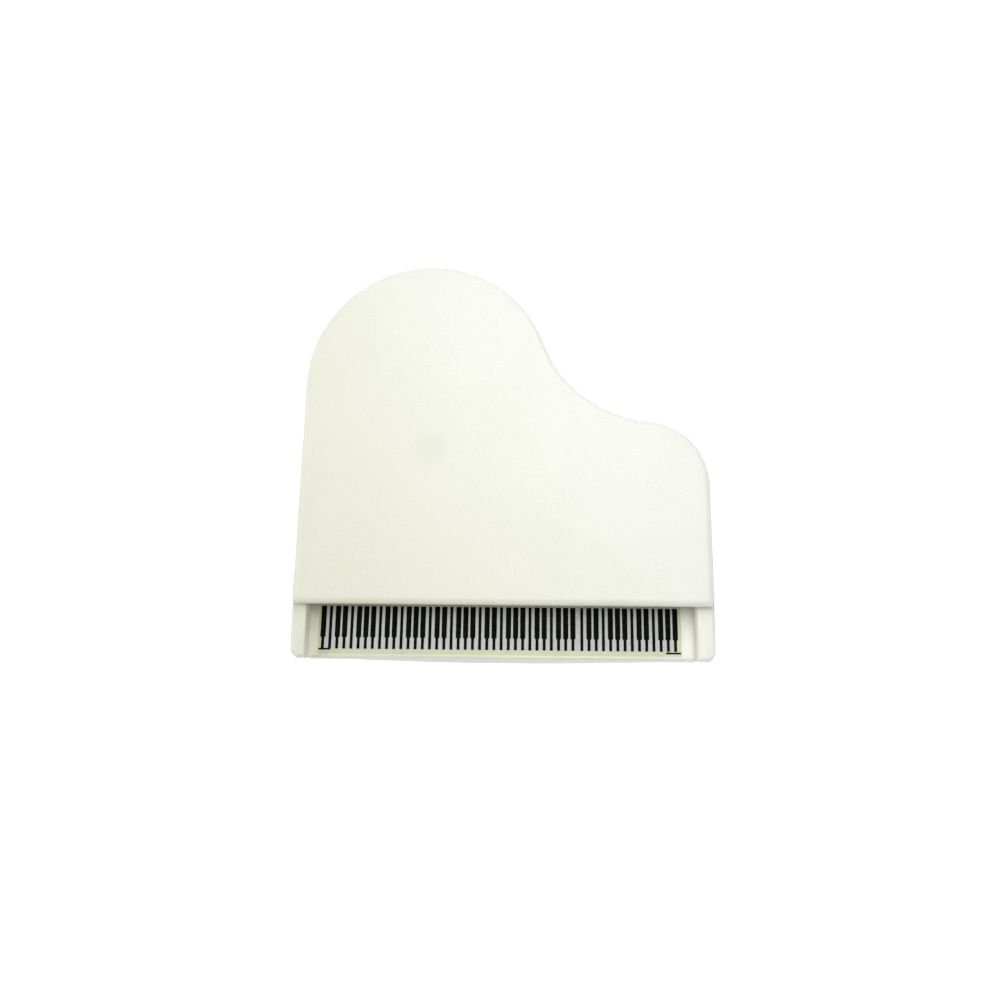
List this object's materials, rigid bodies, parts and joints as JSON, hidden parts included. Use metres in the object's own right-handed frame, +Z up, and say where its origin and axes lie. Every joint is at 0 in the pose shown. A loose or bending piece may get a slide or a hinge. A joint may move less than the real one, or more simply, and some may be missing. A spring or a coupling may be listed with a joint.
{
  "type": "miniature grand piano",
  "caption": "Ivory-white miniature grand piano for a dolls' house, with a printed keyboard, a hinged lid on a prop, a gold string plate, turned legs and a pedal lyre.",
  "frame": {"origin": "centre of the bounding box, on the surface the piano stands on", "axes": "+Z up, +X towards the treble side, +Y towards the tail; the keyboard faces -Y"},
  "size_m": [0.0584, 0.059, 0.038],
  "materials": {
    "ivory_plastic": "glossy ivory-white moulded plastic",
    "label_paper": "printed gloss paper label, black on off-white",
    "gold_paint": "moulded plastic painted gold",
    "brass": "polished brass",
    "soundboard_wood": "satin varnish",
    "bridge_wood": "satin varnish"
  },
  "bodies": {
    "root": {"bridge": "bridge_wood", "case_floor": "ivory_plastic", "case_rim": "ivory_plastic", "cheek_left": "ivory_plastic", "cheek_right": "ivory_plastic", "fallboard": "ivory_plastic", "hinge_leaf_case_front": "brass", "hinge_leaf_case_rear": "brass", "hinge_pin_front": "brass", "hinge_pin_rear": "brass", "key_bed": "ivory_plastic", "key_label": "label_paper", "key_slip": "ivory_plastic", "leg_front_left": "ivory_plastic", "leg_front_right": "ivory_plastic", "leg_rear": "ivory_plastic", "lyre_block": "ivory_plastic", "lyre_post_left": "ivory_plastic", "lyre_post_right": "ivory_plastic", "lyre_stay_left": "brass", "lyre_stay_right": "brass", "pedal_box": "ivory_plastic", "pedal_middle": "brass", "pedal_soft": "brass", "pedal_sustain": "brass", "prop_bracket": "brass", "prop_pin": "brass", "soundboard": "soundboard_wood", "string_plate": "gold_paint"},
    "lid": {"hinge_leaf_lid_front": "brass", "hinge_leaf_lid_rear": "brass", "lid": "ivory_plastic", "prop_cup": "ivory_plastic"},
    "prop": {"lid_prop": "ivory_plastic"}
  },
  "joints": [
    {"name": "lid_hinge", "type": "hinge", "parent": "root", "child": "lid", "pos_m": [-0.02865, -0.01431, 0.03595], "axis": [0, -1, 0], "range_deg": [0, 25]},
    {"name": "prop_pivot", "type": "hinge", "parent": "root", "child": "prop", "pos_m": [0.00735, 0.00709, 0.03335], "axis": [-1, 0, 0], "range_deg": [0, 50]}
  ],
  "couplings": [
    {"joint": "prop_pivot", "follows": "lid_hinge", "ratio": 2}
  ]
}
